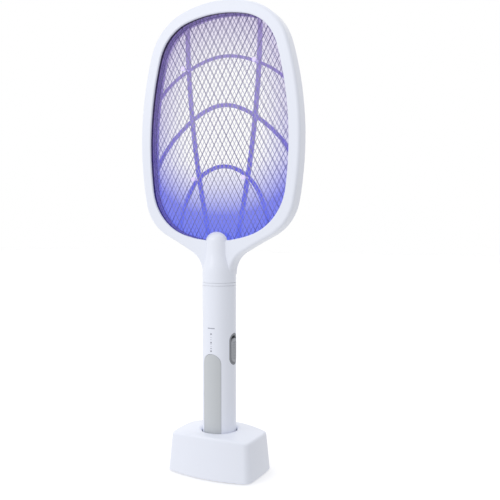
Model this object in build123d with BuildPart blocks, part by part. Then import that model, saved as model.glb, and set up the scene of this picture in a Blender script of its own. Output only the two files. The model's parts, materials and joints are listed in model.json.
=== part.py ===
from build123d import *
import os
from math import asin, cos, degrees, radians, sin, sqrt

os.makedirs("parts", exist_ok=True)

# Electric fly swatter standing in its charging dock. Millimetres, +Z up, front towards -Y.
# The origin is the centre of the dock's underside.

# Handle tube
handle_r = 18.0
wall = 2.4
bore_r = handle_r - wall
handle_foot = 10.0
cap_top = 12.0
neck_ring_z = 199.4
neck_ring_h = 3.2
seam = 0.2
run_gap = 0.3

# Head, seen from the front: each outline is a chain of tangent arcs (radius, turn in degrees)
head_top = 498.4
front_t = 8.0
rear_t = 10.0
face_t = 2.0
rim_wall = 2.2
opening_top = 484.8
outer_arcs = [(129, 19.4), (62, 54.4), (348, 27.0), (50.5, 52.9), (535, -3.9)]
neck_turn = 59.8
opening_arcs = [(133, 15.3), (50, 59.1), (356, 23.6), (58, 64.5)]
opening_last_turn = 17.5
neck_flank_x = 17.1
neck_foot_x = 13.5

# Light tube that rises from the neck and ends in a dome on each face of the head
tube_low_z = 212.0
tube_high_z = 236.0
tube_top_r = 14.2
dome_base = 246.5
dome_top = 257.2
tube_wall = 2.2

# Mesh pack, clamped between the two frames
mesh_t = 0.9
mesh_pitch = 3.4
mesh_mid_y = 1.2
wire = 0.6
cell_w = 9.8
cell_h = 18.2
lattice_z = 431.2
pack_w = 4.4
mesh_rim = (1.6, 4.1)
post_places = [(43.0, 433.0), (30.5, 313.0)]
pack_foot = 242.0

# Press bar on the front of the handle
bar_top = 127.6
bar_foot = 15.5
bar_half_angle = 34.0
bar_t = 2.0
bar_pin_y = -10.0
bar_pin_z = 19.0
button_z = 110.0
bar_ear_in = 7.4
bar_ear_out = 12.6

# Mode switch on the side of the handle
switch_low = 115.2
switch_high = 149.0
switch_w = 15.0
knob_len = 25.6
knob_w = 10.0

# Dock
dock_half_x = 50.3
dock_corner_y = 27.0
dock_bow_y = 35.0
dock_lift = 1.4
dock_draft = 3.6
dock_crown_z = 46.0
crown_r = 240.0
dock_wall = 2.5
socket_r = handle_r + 0.75
socket_floor = handle_foot
lip_r = 3.6
lip_z = dock_crown_z - (socket_r + lip_r) ** 2 / (2 * crown_r)
plate_top = 3.6
pin_x = 5.0

# Screws
screw_r = 1.1
head_r = 2.0
hole_r = 1.2
boss_r = 2.3
handle_screw_x = 12.0
handle_screw_zs = [19.0, 93.5, 184.0]
dock_screw_xy = (38.0, 18.0)


def save(piece, name):
    """Label a finished piece and write it to its own file."""
    piece.part.label = name
    export_step(piece.part, f"parts/{name}.step")


def arc_chain(start, arcs):
    """Draw tangent arcs one after another from a level start and return the last one."""
    at, heading = start, (1, 0)
    for radius, turn in arcs:
        last = JernArc(start=at, tangent=heading, radius=radius, arc_size=-turn)
        at, heading = last @ 1, last % 1
    return last


def outer_outline():
    """The head's outline, down to where it sinks into the neck tube."""
    with BuildLine(mode=Mode.PRIVATE) as line:
        flank = arc_chain((0, head_top), outer_arcs)
        left = (flank @ 1).X - neck_flank_x
        radius = left / (1 - cos(radians(neck_turn)))
        neck = JernArc(start=flank @ 1, tangent=flank % 1, radius=radius, arc_size=neck_turn)
        foot = Line(neck @ 1, (neck_foot_x, (neck @ 1).Y - 8))
        Line(foot @ 1, (0, (foot @ 1).Y))
        mirror(about=Plane.YZ)
    return line.wires()[0]


def opening_half():
    """Half of the opening's outline, from its top to its lowest point."""
    with BuildLine(mode=Mode.PRIVATE) as line:
        side = arc_chain((0, opening_top), opening_arcs)
        radius = (side @ 1).X / sin(radians(opening_last_turn))
        JernArc(start=side @ 1, tangent=side % 1, radius=radius, arc_size=-opening_last_turn)
    return line.wires()[0]


def opening_outline():
    """The whole outline of the opening."""
    with BuildLine(mode=Mode.PRIVATE) as line:
        add(opening_half())
        mirror(about=Plane.YZ)
    return line.wires()[0]


outer_face = make_face(outer_outline().edges(), mode=Mode.PRIVATE)
opening_face = make_face(opening_outline().edges(), mode=Mode.PRIVATE)


def grown(face, amount):
    """A face with its outline moved out by amount."""
    return offset(face, amount=amount, mode=Mode.PRIVATE)


def rim_posts():
    """Places of the frame screws, in the middle of the rim."""
    half = opening_half()
    places = [(0, opening_top + 8.0)]
    for share in (0.27, 0.52, 0.76):
        point, way = half @ share, (half % share).normalized()
        places.append((point.X - way.Y * 7.9, point.Y + way.X * 7.9))
        places.append((-point.X + way.Y * 7.9, point.Y + way.X * 7.9))
    return places


def tube_solid(inset):
    """The light tube as one solid, from the neck ring to the dome, drawn in by inset."""
    foot_z = neck_ring_z + neck_ring_h - (5 if inset else 0)
    shoulder = dome_base - inset
    low_r, top_r = handle_r - inset, tube_top_r - inset
    crown = dome_top - dome_base
    with BuildPart() as tube:
        with BuildSketch(Plane.XZ):
            with BuildLine():
                Polyline((0, shoulder + crown), (0, foot_z), (low_r, foot_z), (low_r, tube_low_z))
                low = (low_r, tube_low_z)
                high = (top_r, tube_high_z)
                Spline(low, high, tangents=[(0, 1), (0, 1)])
                Line(high, (top_r, shoulder))
                EllipticalCenterArc((0, shoulder), top_r, crown, start_angle=0, arc_size=90)
            make_face()
        revolve(axis=Axis.Z)
    return tube.part


tube_outside = tube_solid(0)
tube_bore = tube_solid(tube_wall)


def rib_lines():
    """Centre lines and widths of the guard's ribs, behind the meshes."""
    with BuildLine(mode=Mode.PRIVATE) as uprights:
        Spline((44, 487), (43, 434), (40, 394), (32.5, 331), (24.5, 285), (17.5, 250))
        mirror(about=Plane.YZ)
    with BuildLine(mode=Mode.PRIVATE) as crown:
        Spline((-84, 400), (-66, 419.5), (-43, 433), (0, 444), (43, 433), (66, 419.5), (84, 400))
    with BuildLine(mode=Mode.PRIVATE) as middle:
        Spline((-86, 322), (-71, 349), (-53, 367), (0, 392), (53, 367), (71, 349), (86, 322))
    with BuildLine(mode=Mode.PRIVATE) as low:
        Spline((-54, 260), (-43, 297.5), (-30.5, 314), (0, 326.5), (30.5, 314), (43, 297.5), (54, 260))
    return [(uprights, 5.0), (crown, 3.2), (middle, 4.2), (low, 4.2)]


def frame_half(name, side):
    """Front (side -1) or rear (side +1) frame: a rim with an outer wall, half of the light tube,
    and on the rear the guard's ribs."""
    out = -side
    depth = front_t if side < 0 else rear_t
    inner = depth - face_t
    with BuildPart() as frame:
        with BuildSketch(Plane.XZ):
            add(outer_face)
            add(opening_face, mode=Mode.SUBTRACT)
        extrude(amount=out * depth)
        face = frame.faces().sort_by(Axis.Y)[0 if side < 0 else -1]
        fillet(face.outer_wire().edges(), radius=3.0)
        face = frame.faces().sort_by(Axis.Y)[0 if side < 0 else -1]
        fillet(face.inner_wires()[0].edges(), radius=1.2)
        with BuildSketch(Plane.XZ):
            add(grown(outer_face, -rim_wall))
            add(opening_face, mode=Mode.SUBTRACT)
        extrude(amount=out * inner, mode=Mode.SUBTRACT)
        with BuildSketch(Plane.XZ):
            with Locations(*rim_posts()):
                Circle(boss_r)
        extrude(amount=out * (depth - 1))
        if side > 0:
            with BuildSketch(Plane.XZ.offset(-rear_t + 0.3)):
                for lines, width in rib_lines():
                    trace(lines.line, line_width=width)
                add(grown(opening_face, 2.0), mode=Mode.INTERSECT)
            extrude(amount=face_t - 0.3)
        add(tube_outside)
        add(tube_bore, mode=Mode.SUBTRACT)
        split(bisect_by=Plane.XZ, keep=Keep.TOP if side < 0 else Keep.BOTTOM)
        with BuildSketch(Plane.XY.offset(pack_foot)):
            Rectangle(2 * tube_top_r + 2, 2 * inner)
        extrude(amount=2 * dome_top, mode=Mode.SUBTRACT)
        with BuildSketch(Plane.XZ):
            with Locations(*rim_posts()):
                Circle(hole_r)
        extrude(amount=out * (rear_t if side > 0 else front_t - 2.0), mode=Mode.SUBTRACT)
        if side > 0:
            with BuildSketch(Plane.XZ.offset(-rear_t)):
                with Locations(*rim_posts()):
                    Circle(head_r + 0.2)
            extrude(amount=3.0, mode=Mode.SUBTRACT)
    save(frame, name)


def band(name, y_low, y_high, inner, outer):
    """A flat ring round the opening."""
    with BuildPart() as ring:
        with BuildSketch(Plane.XZ.offset(-y_high)):
            add(grown(opening_face, outer))
            add(grown(opening_face, inner), mode=Mode.SUBTRACT)
        extrude(amount=y_high - y_low)
    save(ring, name)


def mesh(name, y_mid):
    """A grid of crossing slanted wires with a rim."""
    slant = degrees(asin(cell_h / sqrt(cell_h**2 + cell_w**2)))
    with BuildPart() as grid:
        with BuildSketch(Plane.XZ.offset(-y_mid - mesh_t / 2)):
            for lean in (1, -1):
                centres = [(row * cell_w, lattice_z - 4 * cell_h) for row in range(-16, 17)]
                with Locations(*centres):
                    Rectangle(420, wire, rotation=lean * slant)
            add(grown(opening_face, mesh_rim[0] + 0.4), mode=Mode.INTERSECT)
            with BuildSketch(mode=Mode.PRIVATE) as rim:
                add(grown(opening_face, mesh_rim[1]))
                add(grown(opening_face, mesh_rim[0]), mode=Mode.SUBTRACT)
            add(rim.sketch)
        extrude(amount=mesh_t)
    save(grid, name)


def mesh_posts():
    """Insulating posts that hold the three meshes to the ribs."""
    places = [(s * x, z) for x, z in post_places for s in (1, -1)]
    front = mesh_mid_y - mesh_pitch - mesh_t / 2
    with BuildPart() as posts:
        with BuildSketch(Plane.XZ.offset(-rear_t + face_t)):
            with Locations(*places):
                Circle(1.1)
        extrude(amount=rear_t - face_t - front + 0.1)
        with BuildSketch(Plane.XZ.offset(-front + 0.1)):
            with Locations(*places):
                Circle(2.3)
        extrude(amount=1.0)
    save(posts, "mesh_posts")


def frame_screws():
    """Screws that close the two head frames, driven from the rear."""
    with BuildPart() as screws:
        with BuildSketch(Plane.XZ.offset(-rear_t + 1.6)):
            with Locations(*rim_posts()):
                Circle(head_r)
        extrude(amount=1.4)
        with BuildSketch(Plane.XZ.offset(-rear_t + 3.0)):
            with Locations(*rim_posts()):
                Circle(screw_r)
        extrude(amount=rear_t - 3.0 + front_t - 2.6)
    save(screws, "head_screws")


def light_module():
    """Lens that closes the back of the front dome, the lamp board and its four ultraviolet lamps."""
    crown = dome_top - dome_base
    back = front_t - face_t
    with BuildPart() as lens:
        with BuildSketch(Plane.XZ.offset(back + 0.1)):
            with Locations((0, dome_base - tube_wall)):
                Ellipse(tube_top_r - tube_wall - 2.35, crown - 2.1)
            with Locations((0, pack_foot + 0.5 - crown)):
                Rectangle(3 * tube_top_r, 2 * crown, mode=Mode.SUBTRACT)
        extrude(amount=0.9)
    save(lens, "lamp_lens")
    board_z = pack_foot - 5.2
    with BuildPart() as board:
        with BuildSketch(Plane.XY.offset(board_z)):
            with Locations((0, -5.4)):
                RectangleRounded(13.0, 7.6, 1.0)
        extrude(amount=1.2)
    save(board, "lamp_board")
    with BuildPart() as lamps:
        with BuildSketch(Plane.XY.offset(board_z + 1.2)):
            with Locations((0, -8.2)):
                with GridLocations(3.1, 0, 4, 1):
                    Circle(1.1)
        extrude(amount=8.6)
        fillet(lamps.faces().group_by(Axis.Z)[-1].edges(), radius=1.0)
    save(lamps, "uv_lamps")


def neck():
    """Trim ring between head and handle, and the inner sleeve that joins them."""
    with BuildPart() as ring:
        with BuildSketch(Plane.XY.offset(neck_ring_z + seam)):
            Circle(handle_r)
            Circle(bore_r, mode=Mode.SUBTRACT)
        extrude(amount=neck_ring_h - 2 * seam)
    save(ring, "neck_ring")
    with BuildPart() as sleeve:
        with BuildSketch(Plane.XY.offset(neck_ring_z - 10)):
            Circle(bore_r - 0.1)
            Circle(bore_r - 2.1, mode=Mode.SUBTRACT)
        extrude(amount=22)
    save(sleeve, "neck_sleeve")


def bar_outline(gap):
    """Front view of the press bar, with a gap around it."""
    half = handle_r * sin(radians(bar_half_angle)) + gap
    with BuildSketch(mode=Mode.PRIVATE) as sketch:
        with BuildLine():
            Line((-half, bar_foot - gap), (half, bar_foot - gap))
            Line((half, bar_foot - gap), (half, bar_top + gap - half))
            CenterArc((0, bar_top + gap - half), half, 0, 180)
            Line((-half, bar_top + gap - half), (-half, bar_foot - gap))
        make_face()
    return sketch.sketch


def switch_outline(grow):
    """Side view of the mode switch's recess."""
    with BuildSketch(mode=Mode.PRIVATE) as sketch:
        with Locations((0, (switch_low + switch_high) / 2)):
            SlotOverall(switch_high - switch_low + 2 * grow, switch_w + 2 * grow, rotation=90)
    return sketch.sketch


def handle_shell(name, side):
    """Front (side -1) or rear (side +1) half of the handle tube."""
    length = neck_ring_z - cap_top
    bosses = [(s * handle_screw_x, z) for z in handle_screw_zs for s in (1, -1)]
    with BuildPart() as shell:
        with BuildSketch(Plane.XY.offset(cap_top)):
            Circle(handle_r)
        extrude(amount=length)
        with BuildSketch(Plane.XY.offset(cap_top)):
            Circle(bore_r)
        extrude(amount=length, mode=Mode.SUBTRACT)
        with BuildSketch(Plane.XZ):
            with Locations(*bosses):
                Circle(boss_r)
        extrude(amount=-side * 11.0)
        with BuildSketch(Plane.XZ):
            with Locations(*bosses):
                Circle(hole_r)
        extrude(amount=-side * (12.0 if side > 0 else 8.0), mode=Mode.SUBTRACT)
        if side > 0:
            with BuildSketch(Plane.XZ.offset(-handle_r)):
                with Locations(*bosses):
                    Circle(head_r + 0.25)
            extrude(amount=handle_r - 9.0, mode=Mode.SUBTRACT)
        else:
            with BuildSketch(Plane.XZ.offset(10)):
                add(bar_outline(run_gap))
            extrude(amount=10, mode=Mode.SUBTRACT)
            with BuildSketch(Plane.XZ.offset(10)):
                with Locations((0, 131), (0, 140), (0, 149)):
                    Circle(0.95)
            extrude(amount=10, mode=Mode.SUBTRACT)
        with BuildSketch(Plane.YZ.offset(10)):
            add(switch_outline(0.15))
        extrude(amount=10, mode=Mode.SUBTRACT)
        split(bisect_by=Plane.XZ, keep=Keep.TOP if side < 0 else Keep.BOTTOM)
        if side < 0:
            for ear_x in (-bar_ear_out, bar_ear_in):
                with BuildSketch(Plane.YZ.offset(ear_x)):
                    with Locations((bar_pin_y, bar_pin_z)):
                        Circle(2.0)
                extrude(amount=bar_ear_out - bar_ear_in)
            with BuildSketch(Plane.YZ.offset(-bar_ear_out + 0.8)):
                with Locations((bar_pin_y, bar_pin_z)):
                    Circle(1.02)
            extrude(amount=2 * bar_ear_out - 1.6, mode=Mode.SUBTRACT)
    save(shell, name)


def handle_screws():
    """Screws that close the handle, driven from the rear."""
    places = [(s * handle_screw_x, z) for z in handle_screw_zs for s in (1, -1)]
    with BuildPart() as screws:
        with BuildSketch(Plane.XZ.offset(-10.4)):
            with Locations(*places):
                Circle(head_r)
        extrude(amount=1.4)
        with BuildSketch(Plane.XZ.offset(-9.0)):
            with Locations(*places):
                Circle(screw_r)
        extrude(amount=15.0)
    save(screws, "handle_screws")


def press_bar():
    """Long grey thumb bar, hinged at its foot, its pin, its coil spring and the button behind it."""
    with BuildPart() as bar:
        with BuildSketch(Plane.XZ.offset(10)):
            add(bar_outline(0))
        extrude(amount=10)
        with BuildSketch(Plane.XY.offset(bar_foot - 1)):
            Circle(handle_r - 0.02)
        extrude(amount=bar_top, mode=Mode.INTERSECT)
        with BuildSketch(Plane.XY.offset(bar_foot - 1)):
            Circle(handle_r - bar_t)
        extrude(amount=bar_top, mode=Mode.SUBTRACT)
        with BuildSketch(Plane.XZ.offset(12.0)):
            with Locations((0, button_z)):
                Circle(2.0)
        extrude(amount=4.6)
        with BuildSketch(Plane.YZ.offset(-6.5)):
            with Locations((bar_pin_y, bar_pin_z)):
                Circle(2.0)
            with Locations((bar_pin_y - 3.3, bar_pin_z)):
                Rectangle(6.0, 4.0)
        extrude(amount=13)
        with BuildSketch(Plane.YZ.offset(-7)):
            with Locations((bar_pin_y, bar_pin_z)):
                Circle(1.05)
        extrude(amount=14, mode=Mode.SUBTRACT)
    save(bar, "press_bar")
    with BuildPart() as pin:
        with BuildSketch(Plane.YZ.offset(-bar_ear_out + 1.2)):
            with Locations((bar_pin_y, bar_pin_z)):
                Circle(1.0)
        extrude(amount=2 * bar_ear_out - 2.4)
    save(pin, "press_bar_pin")
    with BuildPart() as spring:
        with BuildLine() as coil:
            Helix(pitch=1.4, height=6.4, radius=2.4, center=(0, -9.1, button_z - 11), direction=(0, -1, 0))
        with BuildSketch(Plane(coil.line @ 0, z_dir=coil.line % 0)):
            Circle(0.25)
        sweep(is_frenet=True)
    save(spring, "press_bar_spring")


def control_board():
    """Circuit board behind the press bar, with the parts that raise the mesh voltage."""
    with BuildPart() as board:
        with BuildSketch(Plane.XZ.offset(5.4)):
            with Locations((0, 138.5)):
                RectangleRounded(24.0, 83.0, 1.5)
            with Locations(*[(s * handle_screw_x, 184.0) for s in (1, -1)]):
                Circle(boss_r + 0.4, mode=Mode.SUBTRACT)
        extrude(amount=1.6)
    save(board, "control_board")
    with BuildPart() as switch:
        with BuildSketch(Plane.XZ.offset(7.0)):
            with Locations((0, button_z)):
                RectangleRounded(6.0, 6.0, 0.6)
        extrude(amount=2.8)
        with BuildSketch(Plane.XZ.offset(7.8)):
            with Locations((0, button_z)):
                Circle(1.7)
        extrude(amount=2.0, mode=Mode.SUBTRACT)
    save(switch, "trigger_switch")
    with BuildPart() as plunger:
        with BuildSketch(Plane.XZ.offset(9.4)):
            with Locations((0, button_z)):
                Circle(1.5)
        extrude(amount=2.4)
    save(plunger, "trigger_plunger")
    with BuildPart() as core:
        with BuildSketch(Plane.XZ.offset(-5.4)):
            with Locations((0, 160)):
                Rectangle(17, 15)
                Rectangle(11, 9, mode=Mode.SUBTRACT)
        extrude(amount=5.0)
    save(core, "transformer_core")
    with BuildPart() as winding:
        with BuildSketch(Plane.XZ.offset(-7.4)):
            with Locations((0, 160)):
                RectangleRounded(10.6, 8.6, 1.0)
        extrude(amount=12.6)
    save(winding, "transformer_winding")
    with BuildPart() as capacitors:
        with BuildSketch(Plane.XZ.offset(-3.5)):
            with Locations((-5.5, 174), (5.5, 174)):
                RectangleRounded(8.5, 9.0, 1.2)
        extrude(amount=8.7)
    save(capacitors, "hv_capacitors")
    with BuildPart() as diodes:
        with BuildSketch(Plane.XY.offset(120)):
            with Locations((-8.5, -3.8), (-4.0, -3.8), (0.5, -3.8)):
                Circle(1.4)
        extrude(amount=5.0)
    save(diodes, "hv_diodes")
    with BuildPart() as resistors:
        with BuildSketch(Plane.XY.offset(132)):
            with Locations((-8.0, -4.0), (-3.0, -4.0)):
                Circle(1.2)
        extrude(amount=7.0)
    save(resistors, "discharge_resistors")
    with BuildPart() as chip:
        with BuildSketch(Plane.XZ.offset(7.0)):
            with Locations((0, 162)):
                Rectangle(5.0, 6.0)
        extrude(amount=1.4)
    save(chip, "control_chip")
    with BuildPart() as lights:
        with BuildSketch(Plane.XZ.offset(7.0)):
            with Locations((0, 131), (0, 140), (0, 149)):
                Circle(1.5)
        extrude(amount=3.0)
        with BuildSketch(Plane.XZ.offset(10.0)):
            with Locations((0, 131), (0, 140), (0, 149)):
                Circle(0.85)
        extrude(amount=handle_r - 10.0)
    save(lights, "indicator_lights")


def mode_switch():
    """Recess plate, ribbed sliding knob and the slide switch behind it."""
    middle = (switch_low + switch_high) / 2
    with BuildPart() as plate:
        with BuildSketch(Plane.YZ.offset(10)):
            add(switch_outline(0))
            with Locations((0, middle)):
                SlotOverall(29.0, knob_w + 0.8, rotation=90, mode=Mode.SUBTRACT)
        extrude(amount=10)
        with BuildSketch(Plane.XY.offset(switch_low - 1)):
            Circle(handle_r - 0.3)
        extrude(amount=40, mode=Mode.INTERSECT)
        with BuildSketch(Plane.XY.offset(switch_low - 1)):
            Circle(bore_r + 0.3)
        extrude(amount=40, mode=Mode.SUBTRACT)
    save(plate, "switch_plate")
    low = middle - 14.1
    with BuildPart() as knob:
        with BuildSketch(Plane.YZ.offset(12.9)):
            with Locations((0, low + knob_len / 2)):
                SlotOverall(knob_len, knob_w, rotation=90)
        extrude(amount=8)
        with BuildSketch(Plane.XY.offset(low - 1)):
            Circle(handle_r + 0.5)
        extrude(amount=knob_len + 2, mode=Mode.INTERSECT)
        with BuildSketch(Plane.XY.offset(low - 1)):
            Circle(bore_r + 0.8)
        extrude(amount=knob_len + 2, mode=Mode.SUBTRACT)
        with BuildSketch(Plane.YZ.offset(12.9)):
            with Locations((0, low + knob_len / 2)):
                Rectangle(3.0, 5.0)
        extrude(amount=4.0)
        grooves = [(handle_r + 0.5, low + knob_len / 2 + 2.8 * k) for k in range(-3, 4)]
        with BuildSketch(Plane.XZ.offset(knob_w / 2)):
            with Locations(*grooves):
                Rectangle(1.4, 1.1)
        extrude(amount=-knob_w, mode=Mode.SUBTRACT)
    save(knob, "mode_knob")
    with BuildPart() as body:
        with BuildSketch(Plane.YZ.offset(8.4)):
            with Locations((0, middle)):
                RectangleRounded(8.0, 26.0, 0.8)
        extrude(amount=4.2)
    save(body, "mode_switch_body")


def battery():
    """Lithium cell with its cradle, end contacts and leads."""
    cell_y = 3.0
    with BuildPart() as cell:
        with BuildSketch(Plane.XY.offset(24.0)):
            with Locations((0, cell_y)):
                Circle(9.2)
        extrude(amount=63.8)
        with BuildSketch(Plane.XY.offset(87.8)):
            with Locations((0, cell_y)):
                Circle(3.0)
        extrude(amount=1.2)
        fillet(cell.edges().filter_by(GeomType.CIRCLE).group_by(Axis.Z)[0], radius=0.8)
    save(cell, "battery_cell")
    with BuildPart() as cradle:
        with BuildSketch(Plane.XY.offset(26.0)):
            with Locations((0, cell_y)):
                Circle(10.7)
                Circle(9.4, mode=Mode.SUBTRACT)
                with Locations((0, -6.5)):
                    Rectangle(30, 14, mode=Mode.SUBTRACT)
        extrude(amount=60)
    save(cradle, "battery_cradle")
    with BuildPart() as contacts:
        for z in (23.2, 89.0):
            with BuildSketch(Plane.XY.offset(z)):
                with Locations((0, cell_y)):
                    RectangleRounded(14.0, 10.0, 2.0)
            extrude(amount=0.8)
    save(contacts, "battery_contacts")
    with BuildPart() as leads:
        with BuildSketch(Plane.XY.offset(24.5)):
            with Locations((-12.9, 1.0), (12.9, 1.0)):
                Circle(0.7)
        extrude(amount=64)
    save(leads, "battery_leads")


def neck_leads():
    """Insulated leads that run up the neck: three to the meshes and two to the lamps."""
    with BuildPart() as mesh_leads:
        with BuildSketch(Plane.XY.offset(181.0)):
            with Locations((-6, 2), (0, 2), (6, 2)):
                Circle(0.9)
        extrude(amount=57.0)
    save(mesh_leads, "mesh_leads")
    with BuildPart() as lamp_leads:
        with BuildSketch(Plane.XY.offset(181.0)):
            with Locations((-3, -3.4), (3, -3.4)):
                Circle(0.7)
        extrude(amount=pack_foot - 5.2 - 181.0)
    save(lamp_leads, "lamp_leads")


def end_cap():
    """Cap in the handle's foot with the two charging contacts recessed in it."""
    with BuildPart() as cap:
        with BuildSketch(Plane.XY.offset(handle_foot)):
            Circle(handle_r - 0.1)
        extrude(amount=cap_top - handle_foot)
        chamfer(cap.edges().group_by(Axis.Z)[0], length=0.8)
        with BuildSketch(Plane.XY.offset(cap_top)):
            Circle(bore_r - 0.15)
        extrude(amount=2.6)
        with BuildSketch(Plane.XY.offset(handle_foot)):
            with Locations((-pin_x, 0), (pin_x, 0)):
                Circle(2.4)
        extrude(amount=1.9, mode=Mode.SUBTRACT)
    save(cap, "handle_end_cap")
    with BuildPart() as pads:
        with BuildSketch(Plane.XY.offset(handle_foot + 1.1)):
            with Locations((-pin_x, 0), (pin_x, 0)):
                Circle(2.3)
        extrude(amount=0.8)
    save(pads, "charge_pads")


def dock_plan(inset):
    """Plan of the dock: bowed front and back, near-straight sides, rounded corners."""
    x, y, bow = dock_half_x - inset, dock_corner_y - inset, dock_bow_y - inset
    with BuildSketch(mode=Mode.PRIVATE) as sketch:
        with BuildLine():
            ThreePointArc((-x + 1.5, -y), (0, -bow), (x - 1.5, -y))
            ThreePointArc((x - 1.5, -y), (x, 0), (x - 1.5, y))
            ThreePointArc((x - 1.5, y), (0, bow), (-x + 1.5, y))
            ThreePointArc((-x + 1.5, y), (-x, 0), (-x + 1.5, -y))
        make_face()
        fillet(sketch.vertices(), radius=9.0 - 0.5 * inset)
    return sketch.sketch


def dock_body(inset, foot, top):
    """Drafted block of the dock under its shallow crown."""
    height = dock_crown_z - dock_lift
    with BuildPart() as block:
        for z in (foot, top):
            share = (z - dock_lift) / height
            with BuildSketch(Plane.XY.offset(z)):
                add(dock_plan(inset + dock_draft * share))
        loft()
        with Locations((0, 0, dock_crown_z - inset - crown_r)):
            Sphere(crown_r, mode=Mode.INTERSECT)
    return block.part


def dock():
    """Dock shell with its socket, and everything that is closed in under it."""
    corners = [(sx * dock_screw_xy[0], sy * dock_screw_xy[1]) for sx in (1, -1) for sy in (1, -1)]
    outside = dock_body(0, dock_lift, dock_crown_z)
    outside = fillet(outside.edges().filter_by(lambda e: e.center().Z > 38), radius=3.0)
    inside = dock_body(dock_wall, dock_lift - 0.5, dock_crown_z)
    with BuildPart() as shell:
        add(outside)
        add(inside, mode=Mode.SUBTRACT)
        with BuildSketch(Plane.XY.offset(socket_floor - 2)):
            Circle(socket_r + 2.4)
        extrude(amount=36)
        with BuildSketch(Plane.XY.offset(plate_top)):
            with Locations(*corners):
                Circle(3.4)
        extrude(amount=37)
        with BuildSketch(Plane.XY.offset(socket_floor)):
            Circle(socket_r)
        extrude(amount=60, mode=Mode.SUBTRACT)
        with BuildSketch(Plane.XZ):
            with BuildLine():
                rise = JernArc((socket_r, lip_z - lip_r), (0, 1), radius=lip_r, arc_size=-90)
                Polyline(rise @ 1, (socket_r + lip_r, 60), (0, 60), (0, lip_z - lip_r), rise @ 0)
            make_face()
        revolve(axis=Axis.Z, mode=Mode.SUBTRACT)
        with BuildSketch(Plane.XY.offset(plate_top)):
            with Locations(*corners):
                Circle(hole_r)
        extrude(amount=12, mode=Mode.SUBTRACT)
        with BuildSketch(Plane.XY):
            with Locations((-pin_x, 0), (pin_x, 0)):
                Circle(1.3)
        extrude(amount=20, mode=Mode.SUBTRACT)
        with BuildSketch(Plane.XZ.offset(-24)):
            with Locations((0, 8.2)):
                RectangleRounded(9.4, 4.2, 1.0)
        extrude(amount=-20, mode=Mode.SUBTRACT)
    save(shell, "dock_shell")

    with BuildPart() as plate:
        with BuildSketch(Plane.XY.offset(plate_top - 2.4)):
            add(dock_plan(dock_wall + 0.5))
            with Locations(*corners):
                Circle(hole_r, mode=Mode.SUBTRACT)
        extrude(amount=2.4)
        with BuildSketch(Plane.XY.offset(plate_top - 2.4)):
            with Locations(*corners):
                Circle(head_r + 0.2)
        extrude(amount=1.4, mode=Mode.SUBTRACT)
        with BuildSketch(Plane.XY.offset(plate_top)):
            with Locations((-13, 12), (13, 12), (-13, -12), (13, -12)):
                Circle(2.0)
        extrude(amount=1.4)
    save(plate, "dock_base_plate")

    with BuildPart() as feet:
        with BuildSketch(Plane.XY):
            with Locations((31, 22.5), (31, -22.5), (-31, 22.5), (-31, -22.5)):
                Circle(3.8)
        extrude(amount=plate_top - 2.4)
    save(feet, "dock_feet")

    with BuildPart() as ballast:
        with BuildSketch(Plane.XY.offset(plate_top)):
            with Locations((-31, 0), (31, 0)):
                RectangleRounded(12.0, 40.0, 2.0)
        extrude(amount=22)
        with BuildSketch(Plane.XY.offset(plate_top)):
            with Locations(*corners):
                Circle(4.0)
        extrude(amount=22, mode=Mode.SUBTRACT)
    save(ballast, "dock_weights")

    with BuildPart() as screws:
        with BuildSketch(Plane.XY.offset(plate_top - 2.2)):
            with Locations(*corners):
                Circle(head_r)
        extrude(amount=1.2)
        with BuildSketch(Plane.XY.offset(plate_top - 1.0)):
            with Locations(*corners):
                Circle(screw_r)
        extrude(amount=11)
    save(screws, "dock_screws")

    board_z = plate_top + 1.4
    with BuildPart() as board:
        with BuildSketch(Plane.XY.offset(board_z)):
            with Locations((0, 6)):
                RectangleRounded(34.0, 44.0, 2.0)
        extrude(amount=1.2)
    save(board, "dock_charge_board")

    with BuildPart() as inlet:
        with BuildSketch(Plane.XZ.offset(-25.0)):
            with Locations((0, board_z + 1.2 + 1.6)):
                RectangleRounded(8.0, 3.2, 0.9)
                RectangleRounded(7.2, 2.4, 0.6, mode=Mode.SUBTRACT)
        extrude(amount=-5.6)
        with BuildSketch(Plane.XZ.offset(-25.0)):
            with Locations((0, board_z + 1.2 + 1.6)):
                RectangleRounded(7.6, 2.8, 0.7)
        extrude(amount=-0.8)
        with BuildSketch(Plane.XZ.offset(-25.0)):
            with Locations((0, board_z + 1.2 + 1.6)):
                Rectangle(4.6, 0.6)
        extrude(amount=-4.6)
    save(inlet, "usb_inlet")

    with BuildPart() as barrels:
        with BuildSketch(Plane.XY.offset(board_z + 1.2)):
            with Locations((-pin_x, 0), (pin_x, 0)):
                Circle(1.9)
        extrude(amount=1.2)
        with BuildSketch(Plane.XY.offset(board_z + 1.5)):
            with Locations((-pin_x, 0), (pin_x, 0)):
                Circle(1.05)
        extrude(amount=3, mode=Mode.SUBTRACT)
    save(barrels, "dock_pin_sockets")

    for name, x in (("dock_pin_left", -pin_x), ("dock_pin_right", pin_x)):
        with BuildPart() as pin:
            with BuildSketch(Plane.XY.offset(board_z + 2.6)):
                with Locations((x, 0)):
                    Circle(0.95)
            extrude(amount=handle_foot + 0.9 - board_z - 2.6)
            fillet(pin.edges().group_by(Axis.Z)[-1], radius=0.5)
        save(pin, name)


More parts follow.
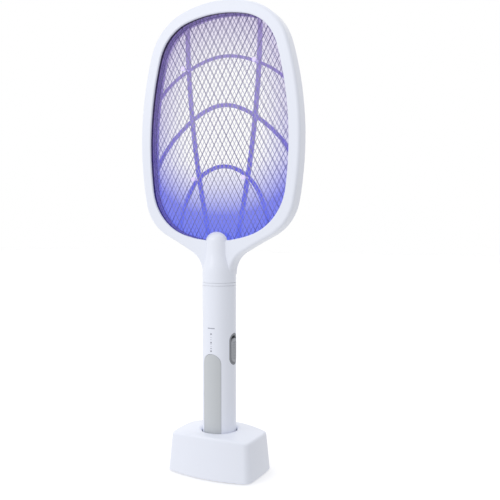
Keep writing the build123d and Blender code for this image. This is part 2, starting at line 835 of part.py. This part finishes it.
frame_half("head_front_frame", -1)
frame_half("head_rear_frame", 1)
mesh_ys = {
    "front": mesh_mid_y - mesh_pitch,
    "middle": mesh_mid_y,
    "rear": mesh_mid_y + mesh_pitch,
}
half_mesh = mesh_t / 2
for place, mesh_y in mesh_ys.items():
    mesh(f"{place}_mesh", mesh_y)
band("front_bezel", face_t - front_t, mesh_ys["front"] - half_mesh, 0.15, pack_w)
band("front_spacer", mesh_ys["front"] + half_mesh, mesh_ys["middle"] - half_mesh, 0.6, pack_w)
band("rear_spacer", mesh_ys["middle"] + half_mesh, mesh_ys["rear"] - half_mesh, 0.6, pack_w)
band("rear_bezel", mesh_ys["rear"] + half_mesh, rear_t - face_t, 0.15, pack_w)
mesh_posts()
frame_screws()
light_module()
neck()
handle_shell("handle_front_shell", -1)
handle_shell("handle_rear_shell", 1)
handle_screws()
press_bar()
control_board()
mode_switch()
battery()
neck_leads()
end_cap()
dock()
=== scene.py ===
import json
import math

import bmesh
import bpy
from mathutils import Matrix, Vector

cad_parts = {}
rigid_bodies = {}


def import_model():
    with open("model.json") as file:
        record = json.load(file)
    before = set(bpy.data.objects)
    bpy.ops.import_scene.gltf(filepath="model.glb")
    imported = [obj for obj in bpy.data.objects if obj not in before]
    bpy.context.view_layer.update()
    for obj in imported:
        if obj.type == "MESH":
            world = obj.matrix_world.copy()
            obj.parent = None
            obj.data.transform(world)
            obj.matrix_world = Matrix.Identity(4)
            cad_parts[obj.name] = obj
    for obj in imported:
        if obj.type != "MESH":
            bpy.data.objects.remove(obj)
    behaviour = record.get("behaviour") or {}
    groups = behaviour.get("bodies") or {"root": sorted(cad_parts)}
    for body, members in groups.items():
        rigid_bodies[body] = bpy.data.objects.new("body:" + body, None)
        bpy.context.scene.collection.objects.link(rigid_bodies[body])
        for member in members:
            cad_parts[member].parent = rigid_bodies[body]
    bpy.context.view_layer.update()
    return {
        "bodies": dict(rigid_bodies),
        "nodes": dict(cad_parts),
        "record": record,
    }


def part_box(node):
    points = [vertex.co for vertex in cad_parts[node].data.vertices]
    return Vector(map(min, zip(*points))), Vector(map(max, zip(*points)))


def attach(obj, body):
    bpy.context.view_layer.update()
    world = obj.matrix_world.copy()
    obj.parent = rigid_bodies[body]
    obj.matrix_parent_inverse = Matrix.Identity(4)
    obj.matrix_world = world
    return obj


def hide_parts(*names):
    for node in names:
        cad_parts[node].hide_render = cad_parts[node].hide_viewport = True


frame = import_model()
nodes = frame["nodes"]
slots = {part["node"]: part["material_slot"] for part in frame["record"]["subparts"]}

# Driving sizes, in metres, as in the CAD model.
HANDLE_R = 0.018
OPENING_TOP = 0.4848
OPENING_ARCS = [(0.133, 15.3), (0.050, 59.1), (0.356, 23.6), (0.058, 64.5)]
OPENING_LAST_TURN = 17.5
CELL_W = 0.0098
CELL_H = 0.0182
LATTICE_Z = 0.4312
WIRE_R = 0.00031
LAYER_SHIFT = 0.0030
WIRE_REACH = 0.0022

# Printed marks on the handle: height of the middle, height, half of the width.
MARK_BAR = (0.1550, 0.0011, 0.0042)
MARK_FOOT = (0.1338, 0.0012, 0.0008)
TICK_TOP = 0.1455
TICK_STEP = 0.0024
TICK_COUNT = 5
TICK_SIZE = (0.0007, 0.0005)

# The guard's ribs end here, and the light tube's dome goes on behind them.
RIB_BACK_Y = 0.0101

# The head's middle, which the glow is measured from.
HEAD_MID_Z = 0.366
HEAD_HALF_W = 0.083
HEAD_HALF_H = 0.119
GLOW_POWER = 2.4

# The glow in the air begins this far out from the middle, or this far down, and grows at this rate.
VEIL_GAP = 0.0006
VEIL_GROW = 0.001
VEIL_RIM = (0.20, 0.72)
VEIL_FOOT = (-0.28, 1.5)
VEIL_MOST = 0.94

# The lamps' light from the head's foot (0) to its top (1), as sRGB.
RIB_GLOW = [
    (0.0, (74, 78, 226)),
    (0.26, (100, 98, 224)),
    (0.5, (142, 130, 214)),
    (0.75, (152, 138, 210)),
    (1.0, (160, 148, 208)),
]
WIRE_GLOW = [
    (0.0, (120, 132, 246)),
    (0.3, (116, 116, 214)),
    (0.6, (128, 120, 190)),
    (1.0, (132, 120, 176)),
]
BEZEL_GLOW = [
    (0.0, (38, 40, 170)),
    (0.3, (44, 30, 130)),
    (0.6, (52, 30, 100)),
    (1.0, (20, 12, 34)),
]
AIR_GLOW = [
    (0.0, (104, 118, 244)),
    (0.2, (118, 124, 240)),
    (0.4, (134, 126, 226)),
    (0.6, (154, 138, 214)),
    (1.0, (182, 162, 216)),
]

# The surroundings' brightness along two axes: direction and level at both ends.
SKY_X = ((0.12, 1.0), (0.7, 0.68))
SKY_Z = ((-0.4, 0.96), (-0.08, 1.0))
FLOOR_HALF = 6.0
FLOOR_WHITE = (0.93, 0.93, 0.94)
FLOOR_SHINE = 0.16

# Soft boxes: place, aim, diameter, watts.
KEY = ((-0.9, -1.3, 1.0), (0, 0, 0.25), 0.9, 3.4)
OVERHEAD = ((0, 0.1, 2.2), (0, 0, 0), 2.0, 5.0)

# The camera: angles in degrees, lengths in metres, lens and sensor in millimetres.
CAMERA_AZIMUTH = 29.3
CAMERA_DISTANCE = 0.690
CAMERA_Z = 0.2584
CAMERA_YAW = 26.57
CAMERA_PITCH = 1.8
CAMERA_LENS = 46.44
CAMERA_SENSOR = 36.0


# ---------------------------------------------------------------- node helpers


class Shader:
    """A material whose nodes are made by short calls."""

    def __init__(self, name):
        self.material = bpy.data.materials.new(name)
        self.material.use_nodes = True
        self.tree = self.material.node_tree
        self.bsdf = self.tree.nodes["Principled BSDF"]
        self.output = self.tree.nodes["Material Output"]
        self.place = self.tree.nodes.new("ShaderNodeTexCoord").outputs["Object"]

    def node(self, kind, inputs=(), **settings):
        made = self.tree.nodes.new(kind)
        for key, value in settings.items():
            setattr(made, key, value)
        for key, value in dict(inputs).items():
            self.put(made.inputs[key], value)
        return made

    def put(self, socket, value):
        if isinstance(value, bpy.types.NodeSocket):
            self.tree.links.new(value, socket)
        else:
            socket.default_value = value

    def set(self, **values):
        for key, value in values.items():
            self.put(self.bsdf.inputs[key.replace("_", " ")], value)

    def noise(self, scale, detail=3.0, stretch=(1, 1, 1)):
        spread = self.node("ShaderNodeMapping", {"Vector": self.place, "Scale": stretch})
        return self.node(
            "ShaderNodeTexNoise",
            {"Vector": spread.outputs[0], "Scale": scale, "Detail": detail, "Roughness": 0.5},
        ).outputs["Fac"]

    def ramp(self, value, stops):
        made = self.node("ShaderNodeValToRGB", {"Fac": value})
        marks = made.color_ramp.elements
        while len(marks) < len(stops):
            marks.new(0.5)
        for mark, (place, colour) in zip(marks, stops):
            mark.position = place
            mark.color = (*colour, 1)
        return made.outputs["Color"]

    def math(self, operation, a, b=0.0, c=0.5, clamp=False):
        return self.node(
            "ShaderNodeMath", {0: a, 1: b, 2: c}, operation=operation, use_clamp=clamp
        ).outputs[0]

    def mix(self, share, a, b):
        made = self.node("ShaderNodeMix", data_type="RGBA")
        self.put(made.inputs["Factor"], share)
        for socket, value in ((made.inputs[6], a), (made.inputs[7], b)):
            self.put(socket, (*value, 1) if isinstance(value, tuple) and len(value) == 3 else value)
        return made.outputs[2]

    def bump(self, height, strength, distance):
        made = self.node("ShaderNodeBump", {"Strength": strength, "Distance": distance, "Height": height})
        self.set(Normal=made.outputs[0])

    def axes(self):
        return self.node("ShaderNodeSeparateXYZ", {"Vector": self.place}).outputs


def linear(r, g, b):
    """An sRGB colour, 0 to 255, as linear light."""
    return tuple((c / 255 / 12.92) if c <= 10 else ((c / 255 + 0.055) / 1.055) ** 2.4 for c in (r, g, b))


def moulded(name, colour, roughness, grain=900.0, relief=0.05, mottle=0.06, coat=0.0):
    """Moulded plastic: a fine spark-eroded grain, faint flow marks and uneven gloss."""
    s = Shader(name)
    dark = tuple(c * (1 - mottle) for c in colour)
    cloud = s.noise(26.0, 4.0)
    s.set(Base_Color=s.mix(cloud, dark, colour))
    rough = s.math("MULTIPLY_ADD", s.noise(140.0, 2.0), 0.10, roughness - 0.05)
    s.set(Roughness=rough, Coat_Weight=coat, Coat_Roughness=0.18)
    s.bump(s.noise(grain, 2.0), relief, 0.00006)
    return s


def shell_white(name="shell_white"):
    """Cool lilac-white ABS."""
    return moulded(name, linear(233, 237, 249), 0.34, relief=0.04, mottle=0.02, coat=0.25)


def head_glow(s):
    """How far out from the head's middle a point is, 0 in the middle and 1 at the opening's edge,
    and its height, -1 at the opening's foot and 1 at its top."""
    x, _, z = s.axes()
    across = s.math("POWER", s.math("ABSOLUTE", s.math("DIVIDE", x, HEAD_HALF_W)), GLOW_POWER)
    height = s.math("DIVIDE", s.math("SUBTRACT", z, HEAD_MID_Z), HEAD_HALF_H)
    along = s.math("POWER", s.math("ABSOLUTE", height), GLOW_POWER)
    return s.math("ADD", across, along), height


def glow_colour(s, height, stops):
    """The lamps' light on what lies in the head: blue at the foot, lilac at the top."""
    level = s.math("MULTIPLY_ADD", height, 0.5, 0.5, clamp=True)
    return s.ramp(level, [(place, linear(*colour)) for place, colour in stops])


def rear_frame():
    """White ABS; inside the opening the ribs get painted lamp light, in their colour and as emission."""
    s = shell_white("rear_frame_white")
    out, height = head_glow(s)
    within = s.math("MULTIPLY", s.math("SUBTRACT", 1.06, out), 12.0, clamp=True)
    behind = s.math("MULTIPLY", s.math("SUBTRACT", s.axes()[1], RIB_BACK_Y), 4000.0, clamp=True)
    # Share of painted lamp light: the ribs inside the opening, not the light tube's dome behind them.
    inside = s.math("MULTIPLY", within, s.math("SUBTRACT", 1.0, behind))
    white = s.bsdf.inputs["Base Color"].links[0].from_socket
    painted_lamp_glow = glow_colour(s, height, RIB_GLOW)
    # Painted lamp light: the ribs' colour turns to the lamps' glow and they glow by emission, though they
    # are no lamp.
    s.set(Base_Color=s.mix(inside, white, painted_lamp_glow))
    s.set(Emission_Color=painted_lamp_glow, Emission_Strength=s.math("MULTIPLY", inside, 0.22))
    return s


def dark_bezel():
    """Near-black insulator with painted violet lamp light as emission."""
    s = moulded("insulator_dark", linear(34, 22, 60), 0.5, relief=0.05, mottle=0.2)
    _, height = head_glow(s)
    painted_lamp_glow = glow_colour(s, height, BEZEL_GLOW)
    # Painted lamp light: a violet glow by emission, though the ring is no lamp.
    s.set(Emission_Color=painted_lamp_glow, Emission_Strength=0.30)
    return s


def pale_insulator():
    """Violet insulator rings between and behind the meshes, with painted lamp light as emission."""
    s = moulded("insulator_pale", linear(134, 118, 192), 0.5, relief=0.05, mottle=0.12)
    _, height = head_glow(s)
    painted_lamp_glow = glow_colour(s, height, AIR_GLOW)
    # Painted lamp light: the rings glow by emission, though they are no lamp.
    s.set(Emission_Color=painted_lamp_glow, Emission_Strength=0.12)
    return s


def mesh_wire(name, low, high, shine):
    """Bright drawn wire with fine die lines, and painted lamp light: towards the rim its colour turns to
    the lamps' glow, and it glows by emission.
    """
    s = Shader(name)
    out, height = head_glow(s)
    streak = s.noise(2200.0, 2.0, stretch=(1, 1, 0.15))
    plain = s.mix(streak, linear(*low), linear(*high))
    painted_lamp_glow = glow_colour(s, height, WIRE_GLOW)
    # Share of painted lamp light: none in the middle, growing towards the rim.
    edge = s.math("MULTIPLY", s.math("SUBTRACT", out, 0.15), 0.75, clamp=True)
    s.set(Base_Color=s.mix(edge, plain, painted_lamp_glow), Metallic=0.3)
    s.set(Roughness=s.math("MULTIPLY_ADD", streak, 0.18, 0.3))
    # Painted glow: the wire glows by emission, though it is no lamp.
    s.set(Emission_Color=s.mix(edge, plain, painted_lamp_glow), Emission_Strength=shine)
    s.bump(streak, 0.2, 0.00004)
    return s


def metal(name, colour, roughness):
    """Plated metal with fine lines and a little tarnish."""
    s = Shader(name)
    line = s.noise(1800.0, 2.0, stretch=(1, 1, 0.08))
    stain = s.noise(180.0, 3.0)
    s.set(Base_Color=s.mix(stain, tuple(c * 0.8 for c in colour), colour), Metallic=1.0)
    s.set(Roughness=s.math("MULTIPLY_ADD", line, 0.2, roughness - 0.1))
    s.bump(line, 0.1, 0.00003)
    return s


def lamp_material(name, colour, strength, roughness=0.25):
    """Clear moulding that is lit from inside, with its glow a little uneven."""
    s = moulded(name, colour, roughness, relief=0.03, mottle=0.03)
    shine = s.noise(60.0, 2.0)
    s.set(Emission_Color=s.mix(shine, tuple(c * 0.9 for c in colour), colour), Emission_Strength=strength)
    return s


def board():
    """Green solder mask with copper tracks under it."""
    s = moulded("board_green", linear(30, 92, 52), 0.4, relief=0.03, mottle=0.15)
    cells = s.node("ShaderNodeTexVoronoi", {"Vector": s.place, "Scale": 420.0}, distance="CHEBYCHEV")
    line = s.ramp(cells.outputs["Distance"], [(0.46, (0.012, 0.085, 0.03)), (0.5, (0.03, 0.17, 0.06))])
    s.set(Base_Color=line)
    return s


def winding():
    """Turns of tape round a coil."""
    s = moulded("winding_copper", linear(190, 132, 48), 0.45, relief=0.03, mottle=0.1)
    turns = {"Vector": s.place, "Scale": 420.0, "Distortion": 0.4}
    wave = s.node("ShaderNodeTexWave", turns, bands_direction="Z")
    s.bump(wave.outputs["Fac"], 0.5, 0.0002)
    return s


MATERIALS = {
    "shell_white": shell_white,
    "bar_grey": lambda: moulded("bar_grey", linear(197, 201, 206), 0.5, relief=0.12, mottle=0.03),
    "insulator_dark": dark_bezel,
    "insulator_pale": pale_insulator,
    "mesh_steel": lambda: mesh_wire("mesh_wire", (124, 121, 146), (168, 165, 188), 0.12),
    "switch_dark": lambda: moulded("switch_dark", linear(140, 143, 150), 0.5, relief=0.1),
    "knob_grey": lambda: moulded("knob_grey", linear(172, 175, 182), 0.45, relief=0.1),
    "lens_clear": lambda: lamp_material("lens_clear", linear(236, 236, 252), 0.6),
    "uv_lamp": lambda: lamp_material("uv_lamp", linear(120, 90, 240), 3.0),
    "indicator": lambda: moulded("indicator", linear(150, 152, 166), 0.3, relief=0.02),
    "inner_plastic": lambda: moulded("inner_plastic", linear(216, 217, 222), 0.55, relief=0.08),
    "zinc_steel": lambda: metal("zinc_steel", linear(196, 198, 204), 0.35),
    "board_green": board,
    "contact_brass": lambda: metal("contact_brass", linear(226, 196, 122), 0.3),
    "black_plastic": lambda: moulded("black_plastic", linear(40, 40, 44), 0.5, relief=0.1),
    "ferrite": lambda: moulded("ferrite", linear(58, 58, 62), 0.6, relief=0.2),
    "winding_copper": winding,
    "capacitor_film": lambda: moulded("capacitor_film", linear(160, 70, 40), 0.3),
    "resistor_body": lambda: moulded("resistor_body", linear(190, 172, 140), 0.5),
    "cell_wrap": lambda: moulded("cell_wrap", linear(62, 118, 176), 0.3, coat=0.3),
    "foot_rubber": lambda: moulded("foot_rubber", linear(48, 48, 52), 0.75, relief=0.25),
    "lead_red": lambda: moulded("lead_red", linear(176, 44, 44), 0.5),
}


def dress_cad():
    """Give every CAD node the material of its slot."""
    made = {slot: make().material for slot, make in MATERIALS.items()}
    own = {
        "head_rear_frame": rear_frame().material,
        # The posts are given the lamps' glowing material: painted lamp glow on a part that is no lamp.
        "mesh_posts": lamp_material("post_lilac_painted_glow", linear(206, 194, 240), 0.35).material,
    }
    for name, node in nodes.items():
        material = own.get(name, made[slots[name]])
        for holder in node.material_slots:
            holder.material = material
    return made


# ---------------------------------------------------------------- pieces


def piece(name, bm, material, body, smooth=True):
    """Turn a bmesh into a piece that rides on a body."""
    mesh = bpy.data.meshes.new(name)
    bm.to_mesh(mesh)
    bm.free()
    for face in mesh.polygons:
        face.use_smooth = smooth
    made = bpy.data.objects.new(name, mesh)
    bpy.context.scene.collection.objects.link(made)
    mesh.materials.append(material)
    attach(made, body)
    return made


def opening_points(grow=0.0, steps=24):
    """The opening's outline as points (x, z), moved out by grow."""
    x, z, heading = 0.0, OPENING_TOP + grow, 0.0
    half = [(x, z)]
    arcs = list(OPENING_ARCS)
    for index in range(len(arcs) + 1):
        if index < len(arcs):
            radius, turn = arcs[index][0] + grow, math.radians(arcs[index][1])
        else:
            turn = math.radians(OPENING_LAST_TURN)
            radius = x / math.sin(turn)
        for _ in range(steps):
            step = turn / steps
            chord = 2 * radius * math.sin(step / 2)
            way = heading - step / 2
            x, z = x + chord * math.cos(way), z + chord * math.sin(way)
            heading -= step
            half.append((x, z))
    return half + [(-px, pz) for px, pz in reversed(half[1:-1])]


def crossings(start, way, outline):
    """Where a line leaves and enters an outline, as distances along it."""
    found = []
    for (ax, az), (bx, bz) in zip(outline, outline[1:] + outline[:1]):
        ex, ez = bx - ax, bz - az
        cross = way[0] * ez - way[1] * ex
        if abs(cross) < 1e-12:
            continue
        along = ((ax - start[0]) * ez - (az - start[1]) * ex) / cross
        share = ((ax - start[0]) * way[1] - (az - start[1]) * way[0]) / cross
        if 0 <= share < 1:
            found.append(along)
    return sorted(found)


def add_rod(bm, a, b, radius, sides=6):
    """A straight round rod between two points."""
    a, b = Vector(a), Vector(b)
    way = (b - a).normalized()
    side = way.cross(Vector((0, 1, 0))).normalized()
    up = way.cross(side)
    rings = []
    for centre in (a, b):
        ring = []
        for k in range(sides):
            angle = 2 * math.pi * k / sides
            ring.append(bm.verts.new(centre + radius * (math.cos(angle) * side + math.sin(angle) * up)))
        rings.append(ring)
    for k in range(sides):
        bm.faces.new((rings[0][k], rings[0][k - 1], rings[1][k - 1], rings[1][k]))
    bm.faces.new(rings[0])
    bm.faces.new(list(reversed(rings[1])))


def wire_layer(node, material, shift=0.0):
    """One mesh of the three: two families of straight round wires that cross and touch."""
    low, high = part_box(node)
    middle = (low[1] + high[1]) / 2
    outline = opening_points(WIRE_REACH)
    length = math.hypot(CELL_W, CELL_H)
    bm = bmesh.new()
    for lean in (1, -1):
        way = (lean * CELL_W / length, CELL_H / length)
        y = middle + lean * WIRE_R
        for row in range(-26, 27):
            start = (row * CELL_W + shift, LATTICE_Z - 4 * CELL_H)
            marks = crossings(start, way, outline)
            for begin, end in zip(marks[::2], marks[1::2]):
                if end - begin < 0.003:
                    continue
                a = (start[0] + begin * way[0], y, start[1] + begin * way[1])
                b = (start[0] + end * way[0], y, start[1] + end * way[1])
                add_rod(bm, a, b, WIRE_R)
    made = piece(node + "_wires", bm, material, "racket")
    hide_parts(node)


def print_patch(name, middle_z, height, half_width, material):
    """A thin printed mark that lies on the handle's front."""
    bm = bmesh.new()
    columns = 8
    shells = []
    for radius in (HANDLE_R - 0.00005, HANDLE_R + 0.00003):
        grid = []
        for k in range(columns + 1):
            angle = (2 * k / columns - 1) * half_width / HANDLE_R
            x, y = radius * math.sin(angle), -radius * math.cos(angle)
            grid.append([bm.verts.new((x, y, middle_z + s * height / 2)) for s in (-1, 1)])
        shells.append(grid)
    inner, outer = shells
    for k in range(columns):
        bm.faces.new((outer[k][0], outer[k + 1][0], outer[k + 1][1], outer[k][1]))
        bm.faces.new((inner[k][1], inner[k + 1][1], inner[k + 1][0], inner[k][0]))
        for end in (0, 1):
            bm.faces.new((inner[k][end], inner[k + 1][end], outer[k + 1][end], outer[k][end]))
    for k in (0, columns):
        bm.faces.new((inner[k][0], outer[k][0], outer[k][1], inner[k][1]))
    bmesh.ops.recalc_face_normals(bm, faces=bm.faces)
    piece(name, bm, material, "racket", smooth=False)


def handle_marks():
    """A plain bar above the indicator lights and a column of ticks between them."""
    ink = moulded("print_ink", linear(172, 176, 190), 0.5, relief=0.02).material
    print_patch("mark_bar", *MARK_BAR, ink)
    for index in range(TICK_COUNT):
        print_patch(f"mark_tick_{index}", TICK_TOP - TICK_STEP * index, *TICK_SIZE, ink)
    print_patch("mark_foot", *MARK_FOOT, ink)


# ---------------------------------------------------------------- light and camera


def glow_veil():
    """The lamps' light in the air of the head. It is light, not a piece."""
    bm = bmesh.new()
    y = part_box("rear_mesh")[1][1] + VEIL_GAP
    ring = [bm.verts.new((x, y, z)) for x, z in opening_points(VEIL_GROW)]
    bm.faces.new(ring)
    bmesh.ops.triangulate(bm, faces=bm.faces)
    mesh = bpy.data.meshes.new("glow_veil")
    bm.to_mesh(mesh)
    bm.free()
    veil = bpy.data.objects.new("glow_veil", mesh)
    bpy.context.scene.collection.objects.link(veil)
    s = Shader("glow_veil")
    out, height = head_glow(s)
    painted_lamp_glow = glow_colour(s, height, AIR_GLOW)
    foot = s.math("MULTIPLY", s.math("SUBTRACT", VEIL_FOOT[0], height), VEIL_FOOT[1], clamp=True)
    rim = s.math("MULTIPLY", s.math("SUBTRACT", out, VEIL_RIM[0]), VEIL_RIM[1], clamp=True)
    strength = s.math("MULTIPLY", s.math("ADD", rim, foot, clamp=True), VEIL_MOST)
    light = s.node("ShaderNodeEmission", {"Color": painted_lamp_glow, "Strength": 1.0}).outputs[0]
    clear = s.node("ShaderNodeBsdfTransparent").outputs[0]
    both = s.node("ShaderNodeMixShader", {0: strength, 1: clear, 2: light}).outputs[0]
    s.tree.links.new(both, s.output.inputs["Surface"])
    mesh.materials.append(s.material)
    veil.visible_shadow = False
    veil.visible_diffuse = False
    veil.parent = frame["bodies"]["racket"]


def area_light(name, place, target, size, energy):
    """A soft box aimed at a point."""
    data = bpy.data.lights.new(name, "AREA")
    data.shape = "DISK"
    data.size = size
    data.energy = energy
    made = bpy.data.objects.new(name, data)
    made.location = place
    made.rotation_euler = (Vector(target) - Vector(place)).to_track_quat("-Z", "Y").to_euler()
    bpy.context.scene.collection.objects.link(made)


def studio():
    """White floor, surroundings that are darker to the right and below, and two soft boxes."""
    bm = bmesh.new()
    bmesh.ops.create_grid(bm, x_segments=2, y_segments=2, size=FLOOR_HALF)
    mesh = bpy.data.meshes.new("floor")
    bm.to_mesh(mesh)
    bm.free()
    floor = bpy.data.objects.new("floor", mesh)
    bpy.context.scene.collection.objects.link(floor)
    s = moulded("floor", FLOOR_WHITE, 0.7, grain=60.0, relief=0.02, mottle=0.005)
    s.set(Emission_Color=(1, 1, 1, 1), Emission_Strength=FLOOR_SHINE)
    mesh.materials.append(s.material)
    floor.visible_diffuse = False
    floor.visible_glossy = False
    sky()
    area_light("key", *KEY)
    area_light("overhead", *OVERHEAD)


def sky():
    """White surroundings, dimmed by the product of two gradients."""
    world = bpy.data.worlds.new("studio")
    bpy.context.scene.world = world
    world.use_nodes = True
    tree = world.node_tree
    background = tree.nodes["Background"]
    background.inputs["Color"].default_value = (1, 1, 1, 1)
    way = tree.nodes.new("ShaderNodeTexCoord").outputs["Generated"]
    split = tree.nodes.new("ShaderNodeSeparateXYZ")
    tree.links.new(way, split.inputs[0])
    both = tree.nodes.new("ShaderNodeMath")
    both.operation = "MULTIPLY"
    for axis, (start, end), socket in zip("XZ", (SKY_X, SKY_Z), both.inputs):
        spread = tree.nodes.new("ShaderNodeMapRange")
        tree.links.new(split.outputs[axis], spread.inputs["Value"])
        for name, value in zip(("From Min", "To Min", "From Max", "To Max"), (*start, *end)):
            spread.inputs[name].default_value = value
        tree.links.new(spread.outputs["Result"], socket)
    tree.links.new(both.outputs[0], background.inputs["Strength"])


def camera():
    """The viewpoint: right of the front, at the height of the head's foot."""
    azimuth = math.radians(CAMERA_AZIMUTH)
    x, y = CAMERA_DISTANCE * math.sin(azimuth), -CAMERA_DISTANCE * math.cos(azimuth)
    data = bpy.data.cameras.new("camera")
    data.sensor_width = CAMERA_SENSOR
    data.lens = CAMERA_LENS
    made = bpy.data.objects.new("camera", data)
    made.location = (x, y, CAMERA_Z)
    made.rotation_euler = (math.pi / 2 - math.radians(CAMERA_PITCH), 0, math.radians(CAMERA_YAW))
    bpy.context.scene.collection.objects.link(made)
    bpy.context.scene.camera = made


made = dress_cad()
# The two meshes behind get a lighter, more glowing copy of the same wire: painted lamp light, not a
# different metal.
behind = mesh_wire("mesh_wire_behind_painted_glow", (148, 145, 172), (184, 181, 206), 0.20).material
wire_layer("front_mesh", made["mesh_steel"])
wire_layer("middle_mesh", behind, LAYER_SHIFT)
wire_layer("rear_mesh", behind, 2 * LAYER_SHIFT)
handle_marks()
glow_veil()
studio()
camera()
bpy.context.scene.view_settings.view_transform = "Standard"
